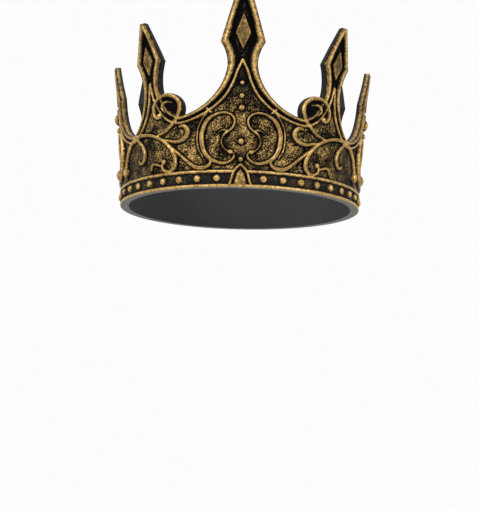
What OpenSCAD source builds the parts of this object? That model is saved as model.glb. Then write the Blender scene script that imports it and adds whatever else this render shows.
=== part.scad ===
// Moulded costume crown in one piece: an oval band with a row of studs, eight spikes that
// lean outward, raised rims and scrolls on the outside, and a plain inside.
// Millimetres. The band stands on z = 0 and the front faces -Y.

/* [Opening] */
// Inside width of the crown, side to side
opening_w = 166; // [150:1:182]
// Inside depth of the crown, front to back
opening_d = 192.6; // [175:0.1:210]
// Thickness of the moulded wall, up to the valleys
wall = 5.4; // [4:0.1:7]
// Thickness at the tall tips, to which the wall thins from the valleys up
tip_wall = 2.2; // [1.6:0.1:4]

/* [Lean] */
// Outward lean of the wall at the lean height
lean = 7; // [2:0.5:12]
// Height at which the lean is measured
lean_h = 100; // [80:1:130]
// How late the lean sets in, where 1 is a straight slope
lean_power = 1.5; // [1:0.1:2.5]
// Further lean of the second spikes at their tips
second_lean = 6; // [0:0.5:9]

/* [Spans] */
// Length of band under the front spike
front_span = 89; // [78:1:100]
// Length of band under each second and third spike
second_span = 48.6; // [44:0.1:54]
// Length of band under each low spike
low_span = 97.2; // [86:0.1:108]
// Length of band under the back spike
back_span = 120.2; // [100:0.1:140]
// Height of the valleys beside the front and back spikes
front_valley_h = 51; // [47:0.5:55]
// Height of the valleys beside the low spikes
side_valley_h = 43.5; // [40:0.5:47]

/* [Front and back spikes] */
// Height of the tip
front_h = 145; // [130:1:165]
// Height of the neck
front_neck_h = 86; // [80:1:92]
// Width of the neck
front_neck_w = 19.6; // [16:0.2:23]
// Height from the neck up to the points at the sides of the blade
front_flare_h = 15.4; // [12:0.2:19]
// Width across those points
front_corner_w = 28.6; // [24:0.2:34]

/* [Second and third spikes] */
// Height of the tip
second_h = 119; // [110:1:132]
// Height of the neck
second_neck_h = 74; // [69:1:80]
// Width of the neck
second_neck_w = 15.6; // [13:0.2:18]
// Height from the neck up to the points at the sides of the blade
second_flare_h = 17.8; // [14:0.2:21]
// Width across those points
second_corner_w = 25; // [21:0.2:29]

/* [Low spikes] */
// Height of the tip
low_h = 105; // [96:1:114]
// Height of the neck
low_neck_h = 70; // [64:1:76]
// Width of the neck
low_neck_w = 40; // [36:0.2:44]
// Height from the neck up to the points at the sides of the blade
low_flare_h = 7; // [5:0.2:10]
// Width across those points
low_corner_w = 41; // [37:0.2:45]

/* [Blades] */
// Width of every blunt tip
tip_w = 4.4; // [3:0.2:6]
// Width of the lozenge on each blade
lozenge_w = 9.4; // [7:0.2:11]
// Height of the lozenge plate above the ground
lozenge_relief = 1.4; // [0.8:0.1:2]

/* [Rim] */
// Width of the raised rim
rim_w = 4.6; // [3.8:0.1:5.4]
// Width of the bevel on its outer edge
rim_bevel = 1.3; // [0.8:0.1:1.6]
// Width of its flat crest
rim_crest = 2; // [1.2:0.1:2.4]
// Height of the crest above the ground
rim_relief = 1.7; // [1:0.1:2.4]
// Height of the rim at the very edge
rim_edge = 0.7; // [0.2:0.1:1]
// Distance from the edge to the crest of the thin line that follows the rim
line_inset = 6.4; // [5.8:0.1:7.5]
// Width of the thin line
line_w = 1.6; // [1.2:0.1:2]
// Height of the thin line above the ground
line_relief = 1.1; // [0.7:0.1:1.5]

/* [Band] */
// Height of the band with both its ridges
band_h = 11.8; // [10:0.1:14]
// Width of each ridge
band_ridge = 1.7; // [1.2:0.1:2.4]
// Height of the ridges above the ground
band_relief = 1.2; // [0.8:0.1:1.8]
// Number of studs on the band
stud_count = 41; // [31:2:51]
// Radius of a stud
stud_r = 2.5; // [1.8:0.1:3]
// Height of a stud above the ground
stud_relief = 1.9; // [1.2:0.1:2.6]
// Height of the studs on the low spikes above the ground
low_stud_relief = 3.2; // [2:0.1:4]
// Distance from the front centre line to the first stud
first_stud = 16.1; // [12:0.1:20]

/* [Scrolls] */
// Height of the scroll strokes above the ground
scroll_relief = 1.9; // [1.2:0.1:2.6]
// Height of a narrow stroke as a share of its width
stroke_slope = 0.75; // [0.5:0.05:1]
// Depth of the strokes and studs below the ground, where they join the wall
root = 1.2; // [0.8:0.1:1.6]
// Distance from the inside of the wall to the back of the loops that stand in the valleys
back_clear = 0.8; // [0.5:0.1:1.2]
// Distance that the plate inside a loop stands back from the ground and from the loop's back
eye_step = 0.3; // [0.2:0.1:0.6]

/* [Hidden] */
gold = [0.66, 0.51, 0.28];

// The oval wall, measured by the distance along it from the front
half_w = opening_w / 2 + wall;
half_d = opening_d / 2 + wall;
arc_steps = 120;

// Widest facet of the wall, and sides of a stud
facet_w = 16;
stud_sides = 6;

function oval_point(t) = [half_w * sin(t), -half_d * cos(t)];
function arc_chord(i) = norm(oval_point((i + 1) * 180 / arc_steps) - oval_point(i * 180 / arc_steps));

// Pairs of run along the wall and angle, from the front to the back
arc_table = [
    for (i = 0, run = 0; i <= arc_steps; run = run + arc_chord(i), i = i + 1)
        [run, i * 180 / arc_steps]
];
half_round = arc_table[arc_steps][0];

// The pattern is drawn flat and stretched to close round the wall
pattern_half = front_span / 2 + 2 * second_span + low_span + back_span / 2;
stretch = half_round / pattern_half;

function turn_of(run) =
    run < 0 ? -turn_of(-run)
    : run > half_round ? 360 - turn_of(2 * half_round - run)
    : lookup(run, arc_table);
function turn_at(u) = turn_of(u * stretch);
function outward(t) =
    let (n = [sin(t) / half_w, -cos(t) / half_d])
    n / norm(n);
function lean_at(z) = lean * pow(max(z, 0) / lean_h, lean_power);
function wall_at(z) =
    mix(wall, tip_wall, max(z - side_valley_h, 0) / (front_h - side_valley_h));

// Rounding to a micron makes shared corners equal
function snap(v) = [for (c = v) round(c * 1000) / 1000];

// A point of the wall: u along the pattern from the front, z up, d out from the ground
function at(u, z, d) =
    let (t = turn_at(u), p = oval_point(t) + outward(t) * (d + lean_at(z)))
    snap([p[0], p[1], z]);

function left_of(v) = [-v[1], v[0]] / norm(v);
function mix(a, b, f) = a + (b - a) * f;

// Spikes

// A spike's shape is half its neck, the neck's height, half its blade, the blade's height,
// the tip's height and the tip's further lean
function shape(neck_w, neck_h, flare_h, corner_w, tip_h, tip_lean) =
    [neck_w / 2, neck_h, corner_w / 2, neck_h + flare_h, tip_h, tip_lean];
front_shape = shape(front_neck_w, front_neck_h, front_flare_h, front_corner_w, front_h, 0);
second_shape =
    shape(second_neck_w, second_neck_h, second_flare_h, second_corner_w, second_h, second_lean);
third_shape = shape(second_neck_w, second_neck_h, second_flare_h, second_corner_w, second_h, 0);
low_shape = shape(low_neck_w, low_neck_h, low_flare_h, low_corner_w, low_h, 0);

// A spike is its centre, its half span, its valleys to the left and right, and its shape
second_u = (front_span + second_span) / 2;
low_u = front_span / 2 + second_span + low_span / 2;
right_spikes = [
    [second_u, second_span / 2, front_valley_h, side_valley_h, second_shape],
    [low_u, low_span / 2, side_valley_h, side_valley_h, low_shape],
    [2 * low_u - second_u, second_span / 2, side_valley_h, front_valley_h, third_shape]
];
left_spikes = [
    for (s = right_spikes)
        [2 * pattern_half - s[0], s[1], s[3], s[2], s[4]]
];
spikes = concat(
    [[0, front_span / 2, front_valley_h, front_valley_h, front_shape]],
    right_spikes,
    [[pattern_half, back_span / 2, front_valley_h, front_valley_h, front_shape]],
    left_spikes
);

// Points of a spike, moved out by its further lean, which sets in above the valleys
function bent(points, shape) = [
    for (q = points)
        let (rise = max(q[1] - front_valley_h, 0) / (shape[4] - front_valley_h))
        [q[0], q[1], q[2] + shape[5] * rise * rise]
];

// The curve from a valley up to the neck is a quarter of a hollow superellipse
sweep_power = 3.3;
sweep_steps = 5;

// The blade flares from the neck in these steps, and its rims close where it is this wide
flare_steps = [0.55, 1];
tip_join_ratio = 1.12;
tip_join = tip_join_ratio * rim_w;

function sweep_point(half, valley, shape, f) = [
    mix(shape[0], half, pow(cos(90 * f), sweep_power)),
    mix(valley, shape[1], pow(sin(90 * f), sweep_power))
];
function blade_z(shape, w) =
    mix(shape[3], shape[4], (shape[2] - w) / (shape[2] - tip_w / 2));

// Outline of one side of a spike: distance from its centre line, and height
function side_outline(half, valley, shape) = concat(
    [for (i = [0:sweep_steps]) sweep_point(half, valley, shape, i / sweep_steps)],
    [for (f = flare_steps) [mix(shape[0], shape[2], f * f), mix(shape[1], shape[3], f)]],
    [for (w = [tip_join, tip_w / 2]) [w, blade_z(shape, w)]]
);
neck_rung = sweep_steps;
last_rung = sweep_steps + 4;

// Direction into the spike from a corner of its outline, long enough for a mitre
function inward(path, i) =
    i == 0 ? [0, -1]
    : i == last_rung ? [-1, 0]
    : let (a = left_of(path[i] - path[i - 1]), b = left_of(path[i + 1] - path[i]),
           m = (a + b) / norm(a + b))
      m / (m * a);
function inset(path, i, e) = path[i] + inward(path, i) * e;

// Profiles of the rim and of the thin line inside it: distance in from the edge, and height
rim_profile = [
    [0, rim_edge],
    [rim_bevel, rim_relief],
    [rim_bevel + rim_crest, rim_relief],
    [rim_w, 0]
];
line_foot = line_inset + line_w / 2;
line_profile = [[line_inset, line_relief], [line_foot, 0]];

// Points of a profile on one side of a rung, from the edge inward. A blunt tip has no ground
// between its rims, and a narrow neck draws the lines together.
tip_rim_ratio = 0.91;
neck_line_ratio = 0.94;
tip_squeeze = tip_rim_ratio * tip_w / (2 * rim_w);
function rim_side(path, i) = [
    for (step = rim_profile)
        let (p = inset(path, i, step[0] * (i == last_rung ? tip_squeeze : 1)))
        [p[0], p[1], i == last_rung && step[0] == rim_w ? rim_relief : step[1]]
];
function line_side(path, i) =
    let (squeeze = min(1, neck_line_ratio * path[i][0] / line_foot))
    concat(
        [rim_side(path, i)[3]],
        [for (step = line_profile)
            let (p = inset(path, i, step[0] * squeeze))
            [p[0], p[1], step[1]]]
    );

// Points drawn from a line at u: side 1 to its right, -1 mirrored to its left
function placed(points, u, side) = [for (q = points) [u + side * q[0], q[1], q[2]]];

// Facets of equal width from one point to another
function facets(a, b) =
    let (n = ceil((b[0] - a[0]) / facet_w))
    [for (k = [0:n]) mix(a, b, k / n)];

// The lowest rung runs level with the lower of its two ends
function sill(row, i) =
    let (n = len(row) - 1, low = row[0][1] < row[n][1] ? row[0] : row[n])
    [for (k = [0:n]) i > 0 || k == 0 || k == n ? row[k] : [row[k][0], low[1], low[2]]];

// A rung across the outside of a spike: left rim, left line, ground, right line, right rim
function outer_rung(spike, i) =
    let (left = side_outline(spike[1], spike[2], spike[4]),
         right = side_outline(spike[1], spike[3], spike[4]),
         lined = i <= neck_rung,
         l = placed(lined ? line_side(left, i) : [rim_side(left, i)[3]], spike[0], -1),
         r = placed(lined ? line_side(right, i) : [rim_side(right, i)[3]], spike[0], 1))
    [placed(rim_side(left, i), spike[0], -1), l,
     sill(facets(l[len(l) - 1], r[len(r) - 1]), i),
     backward(r), backward(placed(rim_side(right, i), spike[0], 1))];

// A rung across the inside of a spike
function inner_rung(spike, i) =
    let (l = side_outline(spike[1], spike[2], spike[4])[i],
         r = side_outline(spike[1], spike[3], spike[4])[i])
    sill(
        facets([spike[0] - l[0], l[1], -wall_at(l[1])], [spike[0] + r[0], r[1], -wall_at(r[1])]), i
    );

// A level row of the wall under a spike
function row(spike, z, d) =
    facets([spike[0] - spike[1], z, d], [spike[0] + spike[1], z, d]);
function half_way(a, b) = [for (k = [0:len(a) - 1]) (a[k] + b[k]) / 2];

// Band profile from the base up: height, and height above the ground
ridge_slope = 0.5;
band_rows = [
    [0, band_relief],
    [band_ridge, band_relief],
    [band_ridge + ridge_slope, 0],
    [band_h - band_ridge - ridge_slope, 0],
    [band_h - band_ridge, band_relief],
    [band_h - ridge_slope, band_relief],
    [band_h, 0]
];

// Triangles between two rows, from point i of the lower and point j of the upper
function zip(a, b, i = 0, j = 0) =
    let (n = len(a) - 1, m = len(b) - 1)
    i == n && j == m ? []
    : j == m || i < n && (i + 1) / n <= (j + 1) / m
        ? concat([[a[i], b[j], a[i + 1]]], zip(a, b, i + 1, j))
        : concat([[a[i], b[j], b[j + 1]]], zip(a, b, i, j + 1));
function sheet(rows) = [for (j = [0:len(rows) - 2]) each zip(rows[j], rows[j + 1])];
function column(rows, k) = [for (r = rows) r[k]];
function backward(list) = [for (k = [len(list) - 1:-1:0]) list[k]];
function turned(faces) = [for (f = faces) backward(f)];

// The outside of the wall at one spike: rows of the band, then the rungs
function outer_skin(rungs, rows) =
    let (low = [for (i = [0:neck_rung]) rungs[i]],
         neck = rungs[neck_rung],
         ground = [for (k = [1:1:len(neck[2]) - 2]) neck[2][k]],
         high = [for (i = [neck_rung + 1:last_rung]) rungs[i]])
    concat(
        sheet(column(rungs, 0)),
        sheet(column(low, 1)),
        sheet(concat(rows, column(low, 2))),
        sheet(column(low, 3)),
        sheet(concat([concat(neck[1], ground, neck[3])], column(high, 2))),
        sheet(column(rungs, 4))
    );
function left_edge(rows) = [for (r = rows) r[0]];
function right_edge(rows) = [for (r = rows) r[len(r) - 1]];

// All faces of the wall under and in one spike
function spike_faces(spike) =
    let (outer = [
             for (i = [0:last_rung])
                 [for (part = outer_rung(spike, i)) bent(part, spike[4])]
         ],
         inner = [for (i = [0:last_rung]) bent(inner_rung(spike, i), spike[4])],
         band = [for (b = band_rows) row(spike, b[0], b[1])],
         base = row(spike, 0, -wall), tip = outer[last_rung])
    concat(
        outer_skin(outer, concat(band, [half_way(band[len(band) - 1], outer[0][2])])),
        turned(sheet(concat([base, half_way(base, inner[0])], inner))),
        sheet([right_edge(inner), right_edge(column(outer, 4))]),
        sheet([left_edge(column(outer, 0)), left_edge(inner)]),
        sheet([base, band[0]]),
        [concat(inner[last_rung], backward(concat(tip[0], tip[4])))]
    );

module wall_body() {
    faces = [for (s = spikes) each spike_faces(s)];
    starts = [for (i = 0, n = 0; i < len(faces); n = n + len(faces[i]), i = i + 1) n];
    polyhedron(
        [for (f = faces, p = f) at(p[0], p[1], p[2])],
        [for (i = [0:len(faces) - 1]) [for (k = [0:len(faces[i]) - 1]) starts[i] + k]]
    );
}

// Raised strokes

// Points of a smooth curve through hand-set points, each with its width
curve_steps = 2;
function smooth_point(p, i, f) =
    let (a = p[max(i - 1, 0)], b = p[i], c = p[i + 1], d = p[min(i + 2, len(p) - 1)])
    0.5 * (2 * b + (c - a) * f + (2 * a - 5 * b + 4 * c - d) * f * f
        + (3 * b - a - 3 * c + d) * f * f * f);
function smooth(p) = concat(
    [for (i = [0:len(p) - 2], k = [0:curve_steps - 1]) smooth_point(p, i, k / curve_steps)],
    [p[len(p) - 1]]
);

// Sections of a stroke of width w and height h: offset across it, and height. A bar goes
// through the wall to the loops' back and is rounded from its shoulders up.
bar_shoulder_ratio = 1 / 3;
function ridge_section(w, h) =
    let (foot = w / 2 * (1 + root / h))
    [[foot, -root], [0, h], [-foot, -root]];
function bar_section(w, h) =
    let (s = h * bar_shoulder_ratio)
    [[w / 2, loop_back], [w / 2, s], [0, h], [-w / 2, s], [-w / 2, loop_back]];

// Corners of a stroke's section at one of its points
function stroke_ring(path, i, bar) =
    let (p = path[i], h = min(scroll_relief, stroke_slope * p[2]),
         side = left_of(path[min(i + 1, len(path) - 1)] - path[max(i - 1, 0)]))
    [for (c = bar ? bar_section(p[2], h) : ridge_section(p[2], h))
        at(p[0] + side[0] * c[0], p[1] + side[1] * c[0], c[1])];

module stroke(path, bar = false) {
    rings = [for (i = [0:len(path) - 1]) stroke_ring(path, i, bar)];
    n = len(rings[0]);
    end = len(rings) - 1;
    polyhedron(
        [for (r = rings) each r],
        concat(
            [[for (k = [0:n - 1]) k], [for (k = [n - 1:-1:0]) end * n + k]],
            [for (i = [0:end - 1], k = [0:n - 1])
                let (a = i * n + k, b = i * n + (k + 1) % n)
                each [[a, a + n, b + n], [a, b + n, b]]]
        )
    );
}

// A raised plate between a low and a high ring of points
function ring(outline, d) = [for (p = outline) [p[0], p[1], d]];
function centre(points) =
    [for (k = [0:len(points[0]) - 1]) [for (p = points) p[k]] * [for (p = points) 1]] / len(points);
function shrunk(outline, f) = [for (p = outline) mix(centre(outline), p, f)];

module plate(low, high) {
    n = len(low);
    polyhedron(
        [for (p = concat(low, high, [centre(low), centre(high)])) at(p[0], p[1], p[2])],
        [for (k = [0:n - 1])
            let (m = (k + 1) % n)
            each [[k, m, n + m], [k, n + m, n + k], [m, k, 2 * n], [n + k, n + m, 2 * n + 1]]]
    );
}

// A round stud standing out of the wall, tapered from a thin disc at its root to its top
stud_top_ratio = 0.5;
stud_disc = 0.3;
module stud(u, z, r, relief) {
    face = outward(turn_at(u));
    top_r = stud_top_ratio * r;
    translate(at(u, z, -root))
        rotate([0, 90, atan2(face[1], face[0])])
            hull() {
                cylinder(h = stud_disc, r = r + (r - top_r) * root / relief, $fn = stud_sides);
                cylinder(h = root + relief, r = top_r, $fn = stud_sides);
            }
}

// Strokes and plates, by side
function ordered(p, side) = side > 0 ? p : backward(p);

module scroll(points, u, side, bar = false) {
    stroke(smooth(placed(points, u, side)), bar);
}

// The lozenge on a blade: how far its widest points stand above the blade's, how far it
// reaches down to the neck and up to the tip, and how much smaller its top is
lozenge_rise_ratio = 0.08;
lozenge_low_ratio = 0.55;
lozenge_high_ratio = 0.38;
lozenge_top_ratio = 0.7;
module lozenge(spike) {
    shape = spike[4];
    wide = mix(shape[3], shape[4], lozenge_rise_ratio);
    outline = [
        [spike[0], mix(wide, shape[1], lozenge_low_ratio)],
        [spike[0] - lozenge_w / 2, wide],
        [spike[0], mix(wide, shape[4], lozenge_high_ratio)],
        [spike[0] + lozenge_w / 2, wide]
    ];
    plate(
        bent(ring(outline, -root), shape),
        bent(ring(shrunk(outline, lozenge_top_ratio), lozenge_relief), shape)
    );
}

// Scroll ornament, as distance from its line, height and width

// The pair of scrolls under a tall or low spike, drawn from the spike's centre line
c_scroll = [
    [5.4, 23.8, 1.8], [6, 19, 2], [15, 17, 2.4], [24.7, 23.5, 3.2], [27.2, 34.5, 3.6],
    [23, 46.5, 3], [12, 51.7, 2.2], [4.6, 46, 2], [9, 38.5, 2], [13.2, 31, 2], [8.4, 24.6, 1.6]
];
c_tendril = [[9, 38.5, 1.8], [12, 39.8, 2], [15.5, 38, 1.4]];

// The scrolls beside a valley, drawn from the valley
loop = [
    [18.8, 39, 2], [5.5, 45.5, 3], [-0.9, 57.5, 3.2], [8, 66.7, 3], [18.5, 64.5, 2.4],
    [22.7, 57, 2.2], [18.7, 51.4, 2]
];
// Depth of the loop's back, set by the wall at its top
loop_back = back_clear - wall_at(max([for (p = loop) p[1]]));
loop_hook = [[6.9, 61.5, 1.5], [13, 61.2, 1.9], [12.4, 55.5, 1.4]];
comma_leaf = [[12, 35, 1.8], [1, 33, 3], [-6.7, 38.5, 3.8], [-0.5, 43.4, 1.6]];
long_stem = [[13.2, 35, 2.2], [-6, 19, 2.4], [-15, 13.5, 3], [-23.6, 17, 2]];
arch = [
    [14.2, 18.6, 2], [9.6, 12.4, 2.8], [2.8, 19, 3.6], [14.8, 35.5, 2.8], [38.3, 41.5, 3],
    [57, 34.5, 3.6], [63.7, 21, 3.4]
];
arch_wave = [[15.3, 17, 1.6], [23, 18.8, 2], [26, 15, 1.4]];
hanging_curl = [[45.5, 41, 1.4], [33.4, 29, 3.4], [37.5, 21.6, 2.4], [41, 23.6, 1.6]];

// The balls that end the loop and the arch: distance from the valley, height and radius
loop_ball = [16.7, 53, 2.1];
arch_ball = [63, 19, 3.4];

// The studs on a spike's centre line: height and radius
centre_studs = [[72.5, 1.5], [63.5, 1.8], [55, 2.2], [31.7, 2.2], [19.2, 1.6]];
low_studs = [[65, 4.6], [56.5, 2.6], [22.5, 4.4]];

// The sides and the back carry the large strokes alone
module spike_scrolls(u, studs, relief, small = false) {
    for (side = [-1, 1]) {
        scroll(c_scroll, u, side);
        if (small)
            scroll(c_tendril, u, side);
    }
    for (s = studs)
        stud(u, s[0], s[1], relief);
}

// One side's ornament beside the valley at u, with the loop standing up in the valley
module valley_scrolls(u, side, small = false) {
    for (p = [comma_leaf, long_stem, arch])
        scroll(p, u, side);
    if (small)
        for (p = [loop_hook, arch_wave, hanging_curl])
            scroll(p, u, side);
    scroll(loop, u, side, true);
    eye = ordered([for (k = [1:len(loop) - 1]) [u + side * loop[k][0], loop[k][1]]], side);
    plate(ring(eye, loop_back + eye_step), ring(eye, -eye_step));
    for (b = [loop_ball, arch_ball])
        stud(u + side * b[0], b[1], b[2], scroll_relief);
}

// The pointed arch at the front of the band, over a raised stone
arch_w = 2;
arch_line = [[-7.7, 0.8], [-6.2, 5], [-4.6, 10], [0, 15.5], [4.6, 10], [6.2, 5], [7.7, 0.8]];
stone = [[-4, 1.2], [-3.3, 7], [0, 12.5], [3.3, 7], [4, 1.2]];
stone_top_ratio = 0.6;
module front_arch() {
    stroke([for (p = arch_line) [p[0], p[1], arch_w]]);
    plate(ring(stone, -root), ring(shrunk(stone, stone_top_ratio), stud_relief));
}

module band_studs() {
    pitch = 2 * (pattern_half - first_stud) / (stud_count - 1);
    for (i = [0:stud_count - 1])
        stud(first_stud + i * pitch, band_h / 2, stud_r, stud_relief);
}

module crown() {
    color(gold)
        union() {
            wall_body();
            for (s = spikes)
                lozenge(s);
            spike_scrolls(0, centre_studs, stud_relief, true);
            spike_scrolls(pattern_half, centre_studs, stud_relief);
            for (side = [-1, 1]) {
                spike_scrolls(side * low_u, low_studs, low_stud_relief);
                valley_scrolls(side * front_span / 2, side, true);
                valley_scrolls(pattern_half - side * back_span / 2, -side);
            }
            front_arch();
            band_studs();
        }
}

crown();
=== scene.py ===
"""Looks of a moulded costume crown in antique gold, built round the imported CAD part."""

import math
from collections import namedtuple

import bpy
import numpy as np
from mathutils import Matrix, Vector
from mathutils.geometry import delaunay_2d_cdt


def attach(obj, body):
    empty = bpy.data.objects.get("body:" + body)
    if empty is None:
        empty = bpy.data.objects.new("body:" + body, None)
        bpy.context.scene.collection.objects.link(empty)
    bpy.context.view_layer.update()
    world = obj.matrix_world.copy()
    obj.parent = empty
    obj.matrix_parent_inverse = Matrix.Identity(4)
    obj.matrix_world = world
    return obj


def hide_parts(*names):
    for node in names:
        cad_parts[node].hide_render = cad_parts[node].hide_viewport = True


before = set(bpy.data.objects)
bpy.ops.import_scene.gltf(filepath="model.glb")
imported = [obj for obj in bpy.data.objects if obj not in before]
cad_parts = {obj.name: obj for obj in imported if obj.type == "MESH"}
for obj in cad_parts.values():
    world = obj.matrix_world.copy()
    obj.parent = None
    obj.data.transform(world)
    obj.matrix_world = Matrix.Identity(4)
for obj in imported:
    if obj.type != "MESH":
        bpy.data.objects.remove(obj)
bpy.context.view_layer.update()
bpy.ops.object.select_all(action="DESELECT")

# The crown is drawn flat, in millimetres, and wrapped round its oval at the end.
# u runs along the wall from the front, z is up, and d stands out from the ground.
# Half axes of the oval, and length of the drawing from the front to the back
HALF_WIDTH = 88.4
HALF_DEPTH = 101.7
HALF_ROUND = 299.0
# Lean of the wall at a height, how it grows, and the distance over which a spike's own lean sets in
LEAN, LEAN_HEIGHT, LEAN_POWER, LEAN_EASE = 7.0, 100.0, 1.5, 10
# Width of the blunt tips, and how sharply the valleys sweep up
TIP_WIDTH = 4.4
SWEEP_POWER = 3.3

# Thickness of the wall up to the low valleys, and at the tall tips
WALL, TIP_WALL = 5.4, 2.2

# Lines that the drawing is set out from
FRONT_VALLEY, LOW_CENTRE, BACK_VALLEY = 44.5, 141.7, 238.9
HIGH_VALLEY, LOW_VALLEY = 51.0, 43.5

# A spike's half width and height at the neck and at the blade, its tip's height, and the tip's further lean
Shape = namedtuple("Shape", "neck neck_z blade blade_z tip_z lean")
TALL = Shape(9.8, 86.0, 14.3, 101.4, 145.0, 0.0)
SECOND = Shape(7.8, 74.0, 12.5, 91.8, 119.0, 6.0)
LOW = Shape(20.0, 70.0, 20.5, 77.0, 105.0, 0.0)
THIRD = Shape(7.8, 74.0, 12.5, 91.8, 119.0, 0.0)

# The spikes of the right half from front to back: centre, half span, heights of the valleys, and shape
Spike = namedtuple("Spike", "centre half left_valley right_valley shape")
LOW_HALF = 48.6
SPIKES = [
    Spike(0.0, FRONT_VALLEY, HIGH_VALLEY, HIGH_VALLEY, TALL),
    Spike(68.8, 24.3, HIGH_VALLEY, LOW_VALLEY, SECOND),
    Spike(LOW_CENTRE, LOW_HALF, LOW_VALLEY, LOW_VALLEY, LOW),
    Spike(214.6, 24.3, LOW_VALLEY, HIGH_VALLEY, THIRD),
    Spike(HALF_ROUND, 60.1, HIGH_VALLEY, HIGH_VALLEY, TALL),
]

# Lozenge on each shape of blade: lowest, widest and highest point, and half width
LOZENGES = {
    TALL: (95.6, 107.3, 121.0, 4.9),
    SECOND: (82.0, 92.3, 103.0, 4.5),
    LOW: (74.3, 79.3, 89.0, 4.5),
    THIRD: (82.0, 92.3, 103.0, 4.5),
}

# Scrolls, as distance from their line, height and width
C_SCROLL = [
    (6.6, 24.2, 1.6), (5.0, 23.5, 1.7), (4.5, 21.5, 1.8), (6, 19, 2.0), (9, 17, 2.2), (13, 16.5, 2.5),
    (18, 18, 2.9), (22, 20.5, 3.2), (25, 24.5, 3.5), (26.8, 30, 3.7), (27.2, 36, 3.7), (26, 41, 3.4),
    (23.5, 46, 3.1), (20, 49, 2.6), (16, 51, 2.2), (12, 51.7, 2.0), (9, 51.2, 1.9), (6, 49.5, 1.8),
    (4.5, 46.5, 1.8), (4.8, 43.5, 1.8), (6.5, 40.5, 1.8), (9, 38.5, 1.8), (11.5, 36.5, 1.8),
    (13, 33.5, 1.7), (13.3, 30.5, 1.7), (12, 27.5, 1.7), (10, 25.5, 1.7), (8, 24.4, 1.7),
]
C_TENDRIL = [(9, 38.5, 1.5), (11, 39.7, 1.8), (13.5, 39.3, 1.5), (15.5, 38, 1.0)]
C_HAIRLINE = [
    (22.5, 53, 1.6), (27.2, 47, 1.7), (29.8, 41, 1.7), (30.6, 34, 1.7), (29.6, 27, 1.6), (26.6, 21.4, 1.4),
]
TIE = [(20.4, 52.1, 1.9), (23.4, 54.8, 1.9)]
LOOP = [
    (18.8, 39, 2.0), (11.8, 41, 2.5), (6.8, 44.5, 2.8), (2.2, 49, 3.1), (-0.3, 54, 3.3), (-0.9, 58, 3.3),
    (0.5, 62, 3.3), (4.4, 65.5, 3.2), (9.3, 66.8, 3.0), (14.2, 66.5, 2.7), (18.5, 64.5, 2.4),
    (21.5, 61, 2.2), (22.7, 57, 2.1), (21.5, 53, 2.0), (18.7, 51, 2.0),
]
LOOP_HOOK = [(6.9, 61.5, 1.6), (10.9, 62, 2.0), (13.9, 60, 2.1), (14.2, 57.5, 1.9), (12.4, 55.5, 1.6)]
COMMA_LEAF = [
    (13, 35.2, 1.9), (9, 34.5, 2.2), (3, 33, 2.8), (-3, 34, 3.4), (-6.7, 37.5, 4.0), (-6.7, 41, 4.0),
    (-4, 43.7, 3.0), (-0.5, 43.5, 1.9),
]
LONG_STEM = [
    (13.2, 35, 2.0), (9.3, 31, 2.2), (3.4, 27, 2.4), (-2.6, 22, 2.6), (-8.5, 17, 2.8), (-13.5, 14, 3.1),
    (-18.5, 13.6, 3.2), (-22.5, 15, 2.7), (-24, 17.5, 2.1),
]
ARCH = [
    (14.7, 18, 2.0), (14.2, 15, 2.3), (11.2, 12.9, 2.6), (7.2, 12.7, 3.0), (3.7, 15, 3.4), (2.7, 19.5, 3.7),
    (4.6, 25, 3.6), (9, 31, 3.2), (14.8, 35.5, 2.9), (22.6, 39, 2.8), (30.5, 41, 2.9), (38.3, 41.5, 3.1),
    (44.3, 41, 3.3), (51.2, 38.5, 3.5), (57.3, 34, 3.6), (61.5, 28, 3.6), (63.7, 22, 3.6), (63.3, 17.5, 3.4),
]
ARCH_WAVE = [(15.3, 17, 1.9), (18.3, 18, 2.2), (22.2, 19, 2.3), (25.2, 18, 2.2), (26, 15, 1.8)]
HANGING_CURL = [
    (44.5, 40, 1.8), (40.5, 37.5, 2.7), (35.6, 33.5, 3.3), (33.3, 29, 3.6), (33.4, 25, 3.3), (35.5, 22, 2.7),
    (39, 21.5, 2.3), (41, 23.5, 1.8),
]
FRONT_ARCH = [(0, 15.6, 2.1), (2.2, 13.8, 2.1), (4.8, 10, 2.1), (6.2, 5, 2.1), (7.7, 0.9, 2.1)]

# Studs and balls: distance from their line, height and radius
CENTRE_STUDS = [(0, 72.5, 1.6), (0, 63.5, 1.9), (0, 55, 2.3), (0, 31.7, 2.3), (0, 19.2, 1.7)]
LOW_STUDS = [(0, 65, 4.6), (0, 56.5, 2.6), (0, 22.5, 4.4)]
SCROLL_BALLS = [(7.2, 24.3, 1.8)]
VALLEY_BALLS = [(16.9, 52.6, 2.3), (13.3, 19.6, 2.1), (63.2, 18.6, 3.9)]
BAND_STUD_FIRST, BAND_STUD_COUNT, BAND_STUD_Z, BAND_STUD_RADIUS = 16.1, 41, 5.95, 2.75
# How far a stud stands out at most, the radius above which it is a large one, and how far that one does
STUD_RELIEF, LARGE_STUD, LARGE_RELIEF = 2.5, 3.5, 3.8

# The raised stone under the front arch: height and half width
STONE = [(1.5, 4.2), (4, 3.9), (7, 3.1), (9.5, 2.0), (12.4, 0.05)]
# Inside of the front arch: half width at its foot, what it loses for each millimetre up, and its sill
ARCH_INSIDE, ARCH_TAPER, ARCH_SILL = 7.2, 0.36, 2.2

# Profile of the band: height, and height above the ground
GROOVE = -0.15
BAND_PROFILE = [
    (0, 0.9), (0.35, 1.15), (1.0, 1.25), (1.6, 1.1), (2.0, 0.3), (2.4, GROOVE), (9.5, GROOVE), (9.9, 0.3),
    (10.25, 1.05), (10.9, 1.25), (11.5, 1.0), (11.9, 0.25), (12.3, 0),
]
# Heights of the band's two ridges and half their width, and the bounds of the groove between them
LOW_RIDGE, HIGH_RIDGE, RIDGE_HALF = 1.0, 10.9, 1.1
GROOVE_LOW, GROOVE_HIGH = 2, 10
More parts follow.
